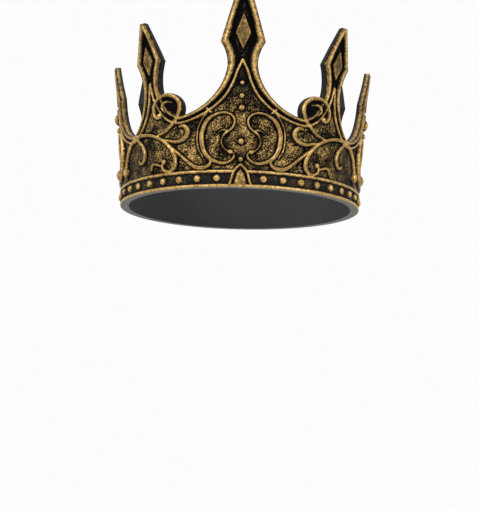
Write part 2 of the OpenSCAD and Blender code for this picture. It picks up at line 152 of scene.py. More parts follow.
# Height above the ground from which a ridge is all gold
RIDGE_GOLD = 0.9

# Profile of the rim: distance in from the edge, and height above the ground
RIM_PROFILE = [
    (0, 0.5), (0.6, 0.9), (1.4, 1.4), (1.9, 1.68), (2.4, 1.7), (3.0, 1.45), (3.7, 0.95), (4.5, 0.05),
    (4.9, -0.35), (5.4, -0.3), (5.9, 0),
]
# Gold on the rim: distance in from the edge, and share. The bright line on its crest is partly rubbed gold and
# partly painted highlight.
RIM_GOLD_AND_HIGHLIGHT = [(0, 0.3), (0.5, 0.56), (1.4, 0.66), (1.8, 1.0), (2.3, 1.05), (2.8, 0.76), (3.4, 0.55), (4.0, 0)]
RIM_WIDTH = 4.5
# Width of the rim as a share of its profile: in a valley, and what it gains above it and beside the blade
RIM_LEAST, RIM_GAIN, BLADE_GAIN = 0.7, 0.3, 0.3
# Heights over which it gains them
RIM_SPAN, BLADE_SPAN = 20, 14
# Strip in the groove beside the rim that has no flecks, as distances in from the edge
NO_FLECKS_FROM, NO_FLECKS_TO = 4, 6.2
# Share of its width that the rim loses in a loop. In the far half of a loop the rim and bright lines are lower
# by the other two
EYE_NARROWS, RIM_DROP, LINE_DROP = 0.35, 0.45, 0.35
# Where the far half of a loop begins and is full, as distances from the loop's line
FAR_FROM, FAR_FULL = 10.5, 12.5

# Thin line inside a rim: width, distance from the edge in a valley, and what that gains over what height
LINE_WIDTH, LINE_INSET, LINE_GAIN, LINE_SPAN = 2.1, 5.0, 1.7, 16
# How far below the neck it leaves the edge, and how far above the neck it meets the line of the other side
LINE_LEAVES, LINE_MEETS = 4, 2.5
# Line inside a loop: distance from the stroke's middle as a share of its width, and width
LOOP_LINE_OFF, LOOP_LINE_WIDTH = 0.26, 1.3

# How far strokes stand out, at most and as a share of their width, and how much wider the bold ones are
STROKE_RELIEF, BOLD_RELIEF, STROKE_RISE, BOLD_WIDTH = 2.3, 3.6, 0.82, 1.25
# Strokes up to the first width have a painted highlight along their middle, from the second on along their
# shoulders
NARROW_STROKE, WIDE_STROKE = 2.2, 3.0
# Powers that round a stroke's section across and up
ROUND_ACROSS, ROUND_UP = 2.3, 0.7
# Gold on strokes and on bright lines, what a narrow one loses towards its foot as painted shade, and how
# sharply it ends
STROKE_GOLD, LINE_GOLD, NARROW_FOOT_SHADE, GOLD_ENDS = 0.98, 1.0, 0.42, 8
# Gold across a wide stroke and a stud: at the middle, and the painted highlight on the shoulder: its strength,
# place and width
SHOULDER_GOLD_AND_HIGHLIGHT = (0.7, 0.38, 0.62, 0.24)
STUD_GOLD_AND_HIGHLIGHT = (0.68, 0.38, 0.52, 0.28)
# Painted shade towards a stud's foot: what gold it loses there, and where that begins
STUD_FOOT_SHADE, STUD_FOOT_SHADE_FROM = 0.35, 0.8

# A blade's recess: depth, how far above the neck it begins, and over what height it deepens
RECESS, RECESS_FROM, RECESS_SPAN = 0.55, 1, 5
# Lozenges and the stone: height above the ground, slope of their sides, and inset at which they are flat
LOZENGE_PLATE = (1.25, 3.5, 0.3)
STONE_PLATE = (1.9, 2.4, 0.5)
# Gold on a lozenge, what more it has near its edge, the inset of that bright edge, and gold on the stone
LOZENGE_GOLD, EDGE_GOLD, EDGE_INSET, STONE_GOLD = 0.55, 0.35, 0.4, 0.78
# Plates on the mirror line stop this short of it, and a plate's sides run down this far outside its outline
SEAM, SKIRT = 0.05, 0.2
# Height up to which the ground counts as not raised
FLAT = 0.02
# Half width and height that hold the stone, and the share of a level distance that is square to its sides
STONE_REACH, STONE_TOP, STONE_SLANT = 6, 14, 0.93

# How far from the band, a rim, a stroke or a stud the ground takes note of its foot, near which it is darkened
# partly by the wash and partly as painted shade, and the most it notes
BAND_REACH, RIM_REACH, STROKE_REACH, STUD_REACH, FAR_FOOT = 4, 8, 5, 4, 9.0
# How bare of flecks the ground is in a loop, at the sides, high up, in a blade and in the band's groove
EYE_BARE, SIDE_BARE, HIGH_BARE, BLADE_BARE, GROOVE_BARE = 0.8, 0.22, 0.55, 0.55, 0.36
# Height from which the ground gets barer, and over which it would be quite bare
HIGH_FROM, HIGH_SPAN = 54, 30
# How grey it is in the groove, how grey at the sides as a painted sheen on the wash, and where along the wall
# the sides begin and are full
GROOVE_GREY, SIDE_SHEEN = 0.17, 0.1
SIDE_FROM, SIDE_FULL = 64, 94
# Distance from a foot at which the grey is full
GREY_FULL = 0.8

# Rows round the edges: share of the wall's thickness, bulge, gold, and gold and grey beside the low spikes
EDGE_ROWS = [
    (0.08, 0.12, 0.5, 0.72, 0.05), (0.32, 0.15, 0.16, 0.72, 0.05),
    (0.6, 0.12, 0.0, 0.5, 0.2), (0.92, 0.05, 0.0, 0.0, 0.4),
]
EDGE_FOOT, EDGE_BARE, EDGE_GREY = 2.0, 0.9, 0.45
# Values that the paint follows: share of a crest, distance to a foot, bare of flecks, grey, and underside
PAINT_VALUES = ("crest", "foot", "bare", "inner", "under")
INSIDE_VALUES = (0.0, 3.0, 1.0, 1.0, 0.0)

# Least distance between points of the mesh, outside and inside
GAP, INNER_GAP = 0.42, 2.2
# Rows of points along a stroke, as shares of its half width, and the distance of a last row from its foot
STROKE_ROWS, FOOT_ROW = (0, 1.02, -1.02, 0.55, -0.55, 0.84, -0.84), 0.6
# Rings of points on a stud: share of its radius, and number
STUD_RINGS = [(0, 1), (1.0, 18), (0.45, 7), (0.78, 12), (0.94, 16), (1.28, 16)]
# Rows of points along the foot and the upper edge of a plate, as insets
PLATE_ROWS = (-0.15, 0.3)
# Steps between points: along the band, across and up the ground, and on the inside
BAND_STEP, GROUND_STEP_U, GROUND_STEP_Z, INNER_STEP = 1.5, 1.9, 1.65, 5
# Steps along the outline: on the upper edge and the back, on the base, and at the front
TOP_STEP, BASE_STEP, FRONT_STEP = 1.0, 1.3, 0.8
SMOOTH_ANGLE = math.radians(48)

# Paint in linear colour: wash, inside and underside
WASH, INSIDE, UNDERSIDE = (0.0016, 0.0013, 0.001, 1), (0.06, 0.061, 0.064, 1), (0.26, 0.25, 0.23, 1)
# Coats over the wash, the last of them a painted highlight: how far gold is rubbed on where each begins and
# where it is full, and its colour
COATS_AND_HIGHLIGHT = [
    (0.06, 0.36, (0.031, 0.0265, 0.02, 1)),
    (0.3, 0.58, (0.155, 0.102, 0.042, 1)),
    (0.55, 0.8, (0.32, 0.192, 0.06, 1)),
    (0.78, 1.1, (0.63, 0.4, 0.13, 1)),
    (1.05, 1.35, (0.9, 0.66, 0.32, 1)),
]

# The floor in metres: size, distance below the base, and distances between which it fades
FLOOR_SIZE, FLOOR_DROP, FLOOR_FADE = 40, 0.0004, (0.4, 1.4)
# Strength of the white surroundings as light, and as they show
SKY_LIGHT, SKY_SHOWN = 0.5, 0.98


def ramp(x, low, high):
    """0 up to low, 1 from high on, straight between."""
    return np.clip((x - low) / (high - low), 0, 1)


def gold_with_highlight(across, gold):
    """Gold across a round form with a painted highlight on its shoulder, by the share of the way from its
    middle to its foot.
    """
    middle, more, place, width = gold
    return middle + more * np.exp(-(((across - place) / width) ** 2))


def smooth_curve(points, step=0.8):
    """A smooth curve through given points, sampled at an even step."""
    p = np.array(points, float)
    p = np.vstack([2 * p[0] - p[1], p, 2 * p[-1] - p[-2]])
    f = np.linspace(0, 1, 24, endpoint=False)[:, None]
    parts = []
    for a, b, c, d in zip(p, p[1:], p[2:], p[3:]):
        square, cube = 2 * a - 5 * b + 4 * c - d, 3 * b - a - 3 * c + d
        parts.append(0.5 * (2 * b + (c - a) * f + square * f**2 + cube * f**3))
    return resample(np.vstack(parts + [p[-2:-1]]), step)


def resample(path, step):
    """The same path with points at an even step, ends kept."""
    run = np.concatenate([[0], np.cumsum(np.hypot(*np.diff(path[:, :2], axis=0).T))])
    stops = np.linspace(0, run[-1], max(2, round(run[-1] / step) + 1))
    return np.column_stack([np.interp(stops, run, column) for column in path.T])


def left_normals(path):
    """Unit vectors to the left of a path, at each of its points."""
    along = np.gradient(path[:, :2], axis=0)
    along /= np.hypot(*along.T)[:, None]
    return np.column_stack([-along[:, 1], along[:, 0]])


def placed(path, u, side):
    """A path drawn from a line at u: side 1 to its right, -1 mirrored to its left."""
    out = np.array(path, float)
    out[:, 0] = u + side * out[:, 0]
    return out


def spike_side(half, valley, shape):
    """One side of a spike from the valley up to the blade's point, and from there to the tip."""
    neck, neck_z, blade, blade_z, tip_z, _ = shape
    turn = np.linspace(0, math.pi / 2, 60)
    sweep = np.column_stack([
        neck + (half - neck) * np.cos(turn) ** SWEEP_POWER,
        valley + (neck_z - valley) * np.sin(turn) ** SWEEP_POWER,
    ])
    f = np.linspace(0, 1, 20)[1:]
    flare = np.column_stack([neck + (blade - neck) * f**2, neck_z + (blade_z - neck_z) * f])
    return np.vstack([sweep, flare]), np.array([[blade, blade_z], [TIP_WIDTH / 2, tip_z]])


def spike_sides(spike):
    """The left and right side of a spike, in place on the drawing."""
    centre, half, left_valley, right_valley, shape = spike
    return (
        [placed(p, centre, -1) for p in spike_side(half, left_valley, shape)],
        [placed(p, centre, 1) for p in spike_side(half, right_valley, shape)],
    )


def crossing(a, b):
    """Places where two paths cross, as (segment of a, segment of b, point)."""
    da, db = np.diff(a, axis=0), np.diff(b, axis=0)
    gap = b[None, :-1] - a[:-1, None]
    det = da[:, None, 0] * db[None, :, 1] - da[:, None, 1] * db[None, :, 0]
    det = np.where(abs(det) < 1e-12, 1e-12, det)
    s = (gap[..., 0] * db[None, :, 1] - gap[..., 1] * db[None, :, 0]) / det
    t = (gap[..., 0] * da[:, None, 1] - gap[..., 1] * da[:, None, 0]) / det
    hits = np.argwhere((s >= 0) & (s < 1) & (t >= 0) & (t < 1))
    return [(i, j, a[i] + s[i, j] * da[i]) for i, j in hits]


def loop_contour(u, side):
    """The outer edge of a loop's stroke, in place on the drawing."""
    curve = smooth_curve(LOOP, 0.3)
    edge = curve[:, :2] + left_normals(curve) * curve[:, 2:] / 2
    return placed(edge, u, side)


def valley_with_loop(path, contour):
    """The valley's path with the part under a loop replaced by the loop's outer edge."""
    hits = crossing(path, contour)
    (i, a, first), (k, b, last) = hits[0], hits[-1]
    bow = contour[a + 1 : b + 1] if a < b else contour[b + 1 : a + 1][::-1]
    return [
        np.vstack([path[: i + 1], first]),
        np.vstack([first, bow, last]),
        np.vstack([last, path[k + 1 :]]),
    ]


def top_outline():
    """The upper edge of the right half, from the front tip to the back tip, as smooth stretches."""
    pieces = [np.array([[0, TALL.tip_z], [TIP_WIDTH / 2, TALL.tip_z]])]
    for spike, following in zip(SPIKES, SPIKES[1:]):
        _, (sweep, edge) = spike_sides(spike)
        (next_sweep, next_edge), _ = spike_sides(following)
        valley = np.vstack([sweep[::-1], next_sweep[1:]])
        pieces.append(edge[::-1])
        if spike is SPIKES[0]:
            pieces += valley_with_loop(valley, loop_contour(FRONT_VALLEY, 1))
        elif following is SPIKES[-1]:
            pieces += valley_with_loop(valley, loop_contour(BACK_VALLEY, -1))
        else:
            pieces.append(valley)
        pieces.append(next_edge)
        tip = next_edge[-1]
        far = min(2 * following.centre - tip[0], HALF_ROUND)
        pieces.append(np.array([tip, [far, tip[1]]]))
    return pieces


def spike_line(sweep, centre, shape):
    """The thin line inside the rim of one side, from the valley to the point where two lines meet."""
    curve = resample(sweep, 1.0)
    curve = curve[curve[:, 1] < shape.neck_z - LINE_LEAVES]
    inward = left_normals(curve) * (1 if curve[0, 0] > centre else -1)
    share = ramp(curve[:, 1:], curve[0, 1], curve[0, 1] + LINE_SPAN)
    inner = curve + inward * (LINE_INSET + LINE_GAIN * share)
    inner = inner[(inner[:, 0] - centre) * (curve[0, 0] - centre) > 0]
    line = np.vstack([inner, [[centre, shape.neck_z + LINE_MEETS]]])
    return resample(np.column_stack([line, np.full(len(line), LINE_WIDTH)]), 0.8)


def loop_line():
    """The bright line along the inside of a loop, short of its ends."""
    curve = smooth_curve(LOOP)
    line = curve[:, :2] - left_normals(curve) * curve[:, 2:] * LOOP_LINE_OFF
    return np.column_stack([line, np.full(len(line), LOOP_LINE_WIDTH)])[6:-4]


def all_strokes():
    """Every raised stroke of the right half, as points with widths."""
    strokes = [smooth_curve(FRONT_ARCH)]
    for p in (C_SCROLL, C_TENDRIL):
        strokes += [placed(smooth_curve(p), 0, 1), placed(smooth_curve(p), HALF_ROUND, -1)]
    for p in (LOOP, LOOP_HOOK, COMMA_LEAF, LONG_STEM, ARCH, ARCH_WAVE, HANGING_CURL):
        strokes += [placed(smooth_curve(p), FRONT_VALLEY, 1), placed(smooth_curve(p), BACK_VALLEY, -1)]
    return strokes


def bold_strokes():
    """The scrolls of the low spike, which stand out further."""
    bold = smooth_curve(C_SCROLL) * [1, 1, BOLD_WIDTH]
    return [placed(bold, LOW_CENTRE, -1), placed(bold, LOW_CENTRE, 1)]


def all_lines():
    """Every thin bright line of the right half: inside rims and loops, and beside the front scrolls."""
    lines = [placed(loop_line(), FRONT_VALLEY, 1), placed(loop_line(), BACK_VALLEY, -1)]
    lines += [smooth_curve(p) for p in (C_HAIRLINE, TIE)]
    for spike in SPIKES:
        for sweep, _ in spike_sides(spike):
            if 0 <= sweep[0, 0] <= HALF_ROUND:
                lines.append(spike_line(sweep, spike.centre, spike.shape))
    return lines


def loop_eye(points):
    """1 inside a loop, and 1 in the half of it that is further from the loop's line."""
    within, far = np.zeros(len(points)), np.zeros(len(points))
    for u, side in ((FRONT_VALLEY, 1), (BACK_VALLEY, -1)):
        eye = within_polygon(points, placed(smooth_curve(LOOP[3:])[:, :2], u, side))
        within = np.where(eye, 1.0, within)
        far = np.where(eye, ramp(side * (points[:, 0] - u), FAR_FROM, FAR_FULL), far)
    return within, far


def all_studs():
    """Every stud and ball of the right half: u, z, radius."""
    studs = list(placed(LOW_STUDS, LOW_CENTRE, 1))
    for u, side in ((0, 1), (HALF_ROUND, -1)):
        studs += list(placed(CENTRE_STUDS + SCROLL_BALLS, u, side))
    for u, side in ((FRONT_VALLEY, 1), (BACK_VALLEY, -1)):
        studs += list(placed(VALLEY_BALLS, u, side))
    pitch = 2 * (HALF_ROUND - BAND_STUD_FIRST) / (BAND_STUD_COUNT - 1)
    studs += [
        (BAND_STUD_FIRST + i * pitch, BAND_STUD_Z, BAND_STUD_RADIUS)
        for i in range((BAND_STUD_COUNT + 1) // 2)
    ]
    return np.array(studs, float)


def plate_rings():
    """Outlines of the flat plates, the lozenges and the stone, as open paths inside the drawing."""
    rings = []
    for spike in SPIKES:
        bottom, wide, top, half = LOZENGES[spike.shape]
        ring = np.array([[0, bottom], [half, wide], [0, top], [-half, wide], [0, bottom]])
        if spike.centre in (0.0, HALF_ROUND):
            side = 1 if spike.centre == 0 else -1
            ring = placed(ring[:3], 0, side)
            ring[[0, 2], 0] = side * SEAM
        rings.append(ring + [spike.centre, 0])
    stone = np.array(STONE)[:, ::-1]
    rings.append(np.vstack([[SEAM, stone[0, 1]], stone]))
    return rings


STROKES = all_strokes()
BOLD = bold_strokes()
LINES = all_lines()
STUDS = all_studs()


def near(points, path, pad):
    """Indices of the points in a path's box, widened by the pad."""
    low, high = path[:, :2].min(0) - pad, path[:, :2].max(0) + pad
    return np.flatnonzero(((points >= low) & (points <= high)).all(1))


def to_path(points, path):
    """Distance from each point to a path, and the width of the path there."""
    a, d = path[:-1, :2], np.diff(path[:, :2], axis=0)
    rel = points[:, None] - a
    f = np.clip((rel * d).sum(2) / np.maximum((d * d).sum(1), 1e-12), 0, 1)
    dist = np.hypot(*np.moveaxis(rel - f[..., None] * d, 2, 0))
    best = dist.argmin(1)
    pick = np.arange(len(points))
    if path.shape[1] < 3:
        return dist[pick, best], None
    width = path[best, 2] + f[pick, best] * (path[best + 1, 2] - path[best, 2])
    return dist[pick, best], width


def inside_spike(points, spike):
    """True where a point is within a spike's outline."""
    centre, half, left_valley, right_valley, shape = spike
    out = np.zeros(len(points), bool)
    for side, valley in ((-1, left_valley), (1, right_valley)):
        sweep, edge = spike_side(half, valley, shape)
        path = np.vstack([sweep, edge[1:]])
        reach = np.interp(points[:, 1], path[:, 1], path[:, 0], left=half, right=-1)
        off = side * (points[:, 0] - centre)
        out |= (off >= 0) & (off <= reach)
    return out


def rim_scale(z, valley, shape):
    """Width of a rim as a share of its profile: narrow in a valley, widest beside the blade."""
    blade = ramp(z, shape.neck_z - BLADE_SPAN, shape.neck_z)
    blade = blade * (1 - ramp(z, shape.blade_z, shape.blade_z + BLADE_SPAN))
    return RIM_LEAST + RIM_GAIN * ramp(z, valley, valley + RIM_SPAN) + BLADE_GAIN * blade


def plate_height(inset, plate, ground):
    """Height of a flat plate with sloping sides, and a value below any ground outside it."""
    relief, slope, edge = plate
    return np.where(inset > -SKIRT, np.clip(relief + slope * (inset - edge), ground, relief), -1)


class Relief:
    """Height above the ground at points of the drawing, and what the paint follows: the share of a
    crest, which carries painted highlights on rims, strokes and studs, the distance to the nearest foot, near
    which the ground is darkened partly by the wash and partly as painted shade, where the ground is bare of
    gold flecks, and where it is grey, which at the sides is a painted sheen."""

    def __init__(self, points):
        self.points = points
        self.height = np.zeros(len(points))
        self.crest = np.zeros(len(points))
        self.foot = np.full(len(points), FAR_FOOT)
        self.eye, self.far = loop_eye(points)
        u, z = points.T
        side = ramp(u, SIDE_FROM, SIDE_FULL) * ramp(HALF_ROUND - u, SIDE_FROM, SIDE_FULL)
        high = np.clip((z - HIGH_FROM) / HIGH_SPAN, SIDE_BARE * side, HIGH_BARE)
        self.bare = np.maximum(EYE_BARE * self.eye, high)
        self.add_band()
        for spike in SPIKES:
            self.add_rim(spike)
        for spike in SPIKES:
            self.add_blade(spike)
        self.add_stone()
        for path in STROKES:
            self.add_stroke(path, STROKE_RELIEF, STROKE_GOLD)
        for path in BOLD:
            self.add_stroke(path, BOLD_RELIEF, STROKE_GOLD)
        for path in LINES:
            self.add_stroke(path, STROKE_RELIEF, LINE_GOLD, LINE_DROP)
        for *centre, radius in STUDS:
            self.add_stud(centre, radius)
        groove = (z > GROOVE_LOW) & (z < GROOVE_HIGH)
        # Grey in the band's groove, and at the sides a painted sheen on the wash; both give way to the dark
        # near a foot
        self.grey = np.where(groove, GROOVE_GREY, SIDE_SHEEN * side) * ramp(self.foot, 0, GREY_FULL)

    def raise_to(self, where, height, share, outside):
        """Raises points to a height and a share of gold. Outside is the distance from the form's foot."""
        self.height[where] = np.maximum(height, self.height[where])
        self.crest[where] = np.maximum(self.crest[where], share)
        self.foot[where] = np.minimum(self.foot[where], outside)

    def add_stroke(self, path, relief, gold, drop=0):
        """A rounded stroke, gold nearly to its feet, with a painted highlight along its shoulders where it is
        wide and along its middle where it is narrow, and painted shade towards the foot of a narrow one. In
        the far half of a loop it is lower by the drop."""
        where = near(self.points, path, STROKE_REACH)
        dist, width = to_path(self.points[where], path)
        whole = 1 - drop * self.far[where]
        across = 2 * dist / width
        section = np.clip(1 - across**ROUND_ACROSS, 0, 1) ** ROUND_UP
        height = np.minimum(relief, STROKE_RISE * width) * section
        wide = ramp(width, NARROW_STROKE, WIDE_STROKE)
        # Painted highlight along the shoulders of a wide stroke and the middle of a narrow one, painted shade
        # towards a narrow one's foot
        share = wide * gold_with_highlight(across, SHOULDER_GOLD_AND_HIGHLIGHT) + (1 - wide) * (1 - NARROW_FOOT_SHADE * across**2)
        share *= gold * np.clip(GOLD_ENDS * (1 - across), 0, 1)
        self.raise_to(where, height * whole, share * whole, dist - width / 2)

    def add_stud(self, centre, radius):
        """A domed stud, with a painted highlight on a ring about its middle and painted shade towards its
        foot.
        """
        where = np.flatnonzero((abs(self.points - centre) < radius + STUD_REACH).all(1))
        dist = np.hypot(*(self.points[where] - centre).T)
        out = dist / radius
        relief = min(LARGE_RELIEF if radius > LARGE_STUD else STUD_RELIEF, radius)
        height = relief * np.sqrt(np.clip(1 - out**2, 0, 1))
        share = gold_with_highlight(out, STUD_GOLD_AND_HIGHLIGHT) - STUD_FOOT_SHADE * ramp(out, STUD_FOOT_SHADE_FROM, 1) - (dist > radius)
        self.raise_to(where, height, share, dist - radius)

    def add_band(self):
        """The band and its ridges, left open inside the arch at the front."""
        band = np.array(BAND_PROFILE)
        low = np.flatnonzero(self.points[:, 1] <= band[-1, 0] + BAND_REACH)
        u, z = self.points[low].T
        under_arch = (u < ARCH_INSIDE - ARCH_TAPER * z) & (z > ARCH_SILL)
        height = np.where(under_arch, GROOVE, np.interp(z, *band.T))
        self.height[low] = height
        self.crest[low] = STROKE_GOLD * ramp(height, 0, RIDGE_GOLD)
        ridge = np.minimum(abs(z - LOW_RIDGE), abs(z - HIGH_RIDGE)) - RIDGE_HALF
        self.foot[low] = np.where(under_arch, 1.0, ridge)
        self.bare[low] = np.where((z > GROOVE_LOW) & (z < GROOVE_HIGH), GROOVE_BARE, 0)

    def add_rim(self, spike):
        """The raised rim along a spike's outline, narrower in the valleys, with a groove inside it."""
        left, right = spike_sides(spike)
        path = np.vstack([left[0], left[1][1:], right[1][::-1], right[0][::-1]])
        where = near(self.points, path, RIM_REACH)
        points = self.points[where]
        dist, _ = to_path(points, path)
        within = inside_spike(points, spike)
        valley = np.where(points[:, 0] < spike.centre, spike.left_valley, spike.right_valley)
        scale = rim_scale(points[:, 1], valley, spike.shape) * (1 - EYE_NARROWS * self.eye[where])
        rim, gold = np.array(RIM_PROFILE), np.array(RIM_GOLD_AND_HIGHLIGHT)
        height = np.where(within, np.interp(dist / scale, *rim.T), rim[0, 1] - dist)
        whole = 1 - RIM_DROP * self.far[where]
        height = np.where(height > 0, height * whole, height)
        hollow = within & (height < 0) & (self.height[where] <= 0)
        self.height[where] = np.where(hollow, height, self.height[where])
        plain = within & (dist > NO_FLECKS_FROM * scale) & (dist < NO_FLECKS_TO * scale)
        self.bare[where] = np.maximum(self.bare[where], plain)
        # Gold along the rim, with a painted highlight in the bright line on its crest
        share = np.where(within, np.interp(dist / scale, *gold.T), 0) * whole
        self.raise_to(where, height, share, np.where(within, dist - RIM_WIDTH * scale, dist))

    def add_blade(self, spike):
        """The recess of a blade and the flat lozenge in it."""
        centre, shape = spike.centre, spike.shape
        bottom, wide, top, half = LOZENGES[shape]
        sill = shape.neck_z + RECESS_FROM
        u, z = self.points.T
        where = np.flatnonzero((abs(u - centre) < shape.blade) & (z > sill))
        u, z = self.points[where].T - [[centre], [wide]]
        rise = np.where(z > 0, top - wide, wide - bottom)
        inset = (1 - abs(u) / half - abs(z) / rise) / np.hypot(1 / half, 1 / rise)
        depth = ramp(self.points[where, 1], sill, sill + RECESS_SPAN)
        self.height[where] = np.where(self.height[where] <= FLAT, -RECESS * depth, self.height[where])
        self.bare[where] = np.maximum(self.bare[where], BLADE_BARE * depth)
        bright = np.clip(1 - abs(inset - EDGE_INSET) / EDGE_INSET, 0, 1)
        share = np.where(inset > 0, LOZENGE_GOLD + EDGE_GOLD * bright, 0)
        self.raise_to(where, plate_height(inset, LOZENGE_PLATE, -RECESS), share, -inset)

    def add_stone(self):
        """The flat raised stone under the arch at the front."""
        stone = np.array(STONE)
        where = np.flatnonzero((self.points[:, 0] < STONE_REACH) & (self.points[:, 1] < STONE_TOP))
        u, z = self.points[where].T
        reach = np.interp(z, *stone.T, left=-1, right=-1)
        inset = np.minimum((reach - u) * STONE_SLANT, z - stone[0, 0])
        share = np.where(inset > 0, STONE_GOLD, 0)
        self.raise_to(where, plate_height(inset, STONE_PLATE, GROOVE), share, -inset)


def drawing_points():
    """Points of the flat drawing, the most telling first: strokes, studs, rims, band and ground."""
    sets = []
    for path in STROKES + BOLD + LINES:
        normal, half = left_normals(path), path[:, 2:] / 2
        for f in STROKE_ROWS:
            sets.append(path[:, :2] + normal * half * f)
        for side in (1, -1):
            sets.append(path[:, :2] + normal * side * (half + FOOT_ROW))
    for u, z, r in STUDS:
        for f, count in STUD_RINGS:
            turn = np.linspace(0, 2 * math.pi, count, endpoint=False)
            sets.append(np.column_stack([u + r * f * np.cos(turn), z + r * f * np.sin(turn)]))
    for spike in SPIKES:
        valleys = (spike.left_valley, spike.right_valley)
        for stretches, valley, sign in zip(spike_sides(spike), valleys, (-1, 1)):
            for stretch in stretches:
                curve = resample(stretch, 1.0)
                normal = left_normals(curve) * sign
                scale = rim_scale(curve[:, 1:], valley, spike.shape)
                for e, _ in RIM_PROFILE[1:]:
                    sets.append(curve + normal * e * scale)
    for z, _ in BAND_PROFILE[1:]:
        u = np.arange(0.4, HALF_ROUND, BAND_STEP)
        sets.append(np.column_stack([u, np.full(len(u), z)]))
    u, z = np.meshgrid(np.arange(0.7, HALF_ROUND, GROUND_STEP_U), np.arange(1.0, TALL.tip_z, GROUND_STEP_Z))
    u = u + np.where(np.arange(len(u))[:, None] % 2, GROUND_STEP_U / 2, 0)
    sets.append(np.column_stack([u.ravel(), z.ravel()]))
    return sets


def plate_creases():
    """Lines at the foot and at the upper edge of every plate, which keep those edges straight."""
    creases = []
    for ring in plate_rings():
        turn = 1 if ring[1, 0] > ring[0, 0] else -1
        for a, b in zip(ring, ring[1:]):
            along = (b - a) / np.hypot(*(b - a))
            inward = np.array([-along[1], along[0]]) * turn
            for shift in PLATE_ROWS:
                creases.append(resample(np.array([a, b]) + inward * shift, 0.8)[1:-1])
    return creases


def within_polygon(points, ring):
    """True where a point is inside a closed ring."""
    inside = np.zeros(len(points), bool)
    for (ax, az), (bx, bz) in zip(ring, np.roll(ring, -1, axis=0)):
        if az != bz:
            spans = (az > points[:, 1]) != (bz > points[:, 1])
            cut = ax + (points[:, 1] - az) / (bz - az) * (bx - ax)
            inside ^= spans & (points[:, 0] < cut)
    return inside


def thinned(fixed, ring, sets, gap):
    """Points of the sets that are inside the ring and no closer than the gap to one already kept."""
    cells = {}

    def free(u, z):
        i, j = int(u // gap), int(z // gap)
        for a in (i - 1, i, i + 1):
            for b in (j - 1, j, j + 1):
                for p in cells.get((a, b), ()):
                    if (p[0] - u) ** 2 + (p[1] - z) ** 2 < gap * gap:
                        return False
        cells.setdefault((i, j), []).append((u, z))
        return True

    for u, z in fixed:
        free(u, z)
    kept = []
    for points in sets:
        points = points[(points[:, 0] > 0) & (points[:, 0] < HALF_ROUND) & (points[:, 1] > 0)]
        for u, z in points[within_polygon(points, ring)]:
            if free(u, z):
                kept.append((u, z))
    return np.array(kept)


def triangulated(ring, creases, sets, gap):
    """Triangles that fill the ring, with the creases as edges. The ring's points come first."""
    n = len(ring)
    fixed = np.vstack([ring] + creases)
    edges = [(i, (i + 1) % n) for i in range(n)]
    start = n
    for line in creases:
        edges += [(start + i, start + i + 1) for i in range(len(line) - 1)]
        start += len(line)
    every = [Vector(p) for p in np.vstack([fixed, thinned(fixed, ring, sets, gap)])]
    verts, _, faces, *_ = delaunay_2d_cdt(every, edges, [], 0, 1e-7, False)
    verts, faces = np.array([tuple(v) for v in verts]), np.array(faces)
    within = within_polygon(verts[faces].mean(1), ring)
    return verts, [tuple(map(int, f)) for f in faces[within]]


def wall_at(z):
    """Thickness of the wall, which thins from the low valleys up."""
    return WALL + (TIP_WALL - WALL) * np.maximum(z - LOW_VALLEY, 0) / (TALL.tip_z - LOW_VALLEY)


def further_lean(u, z):
    """How far the second spikes stand out beyond the lean of the wall."""
    out = np.zeros(len(u))
    for centre, half, _, _, shape in SPIKES:
        rise = np.maximum(z - HIGH_VALLEY, 0) / (shape.tip_z - HIGH_VALLEY)
        out += shape.lean * rise**2 * ramp(half - abs(u - centre), 0, LEAN_EASE)
    return out


def wrapped(u, z, d):
    """Points of the drawing, in metres, round the oval wall that leans outward."""
    turn = np.linspace(0, math.pi, 4001)
    x, y = HALF_WIDTH * np.sin(turn), -HALF_DEPTH * np.cos(turn)
    run = np.concatenate([[0], np.cumsum(np.hypot(np.diff(x), np.diff(y)))])
    t = np.interp(u * run[-1] / HALF_ROUND, run, turn)
    nx, ny = np.sin(t) / HALF_WIDTH, -np.cos(t) / HALF_DEPTH
    size = np.hypot(nx, ny)
    out = d + LEAN * (np.maximum(z, 0) / LEAN_HEIGHT) ** LEAN_POWER + further_lean(u, z)
    x, y = HALF_WIDTH * np.sin(t) + nx / size * out, -HALF_DEPTH * np.cos(t) + ny / size * out
    return np.column_stack([x, y, z]) / 1000


def outline_ring():
    """The outline of the right half, and which of its points are on the upper edge and on the base."""
    pieces = [resample(p, TOP_STEP) for p in top_outline()]
    top = np.vstack([p[:-1] for p in pieces] + [pieces[-1][-1:]])
    back_edge = resample(np.array([[HALF_ROUND, TALL.tip_z], [HALF_ROUND, 0.0]]), TOP_STEP)
    base = resample(np.array([[HALF_ROUND, 0.0], [0.0, 0.0]]), BASE_STEP)
    front_edge = resample(np.array([[0.0, 0.0], [0.0, TALL.tip_z]]), FRONT_STEP)
    ring = np.vstack([top[:-1], back_edge[:-1], base[:-1], front_edge[:-1]])
    index = np.arange(len(ring))
    base_start = len(top) + len(back_edge) - 2
    return ring, index < len(top), (index >= base_start) & (index < base_start + len(base))


def sheet(u, z, d, *paint):
    """Points of the skin with a column for u, z, d and each value that the paint follows."""
    return np.column_stack(np.broadcast_arrays(u, z, d, *paint))


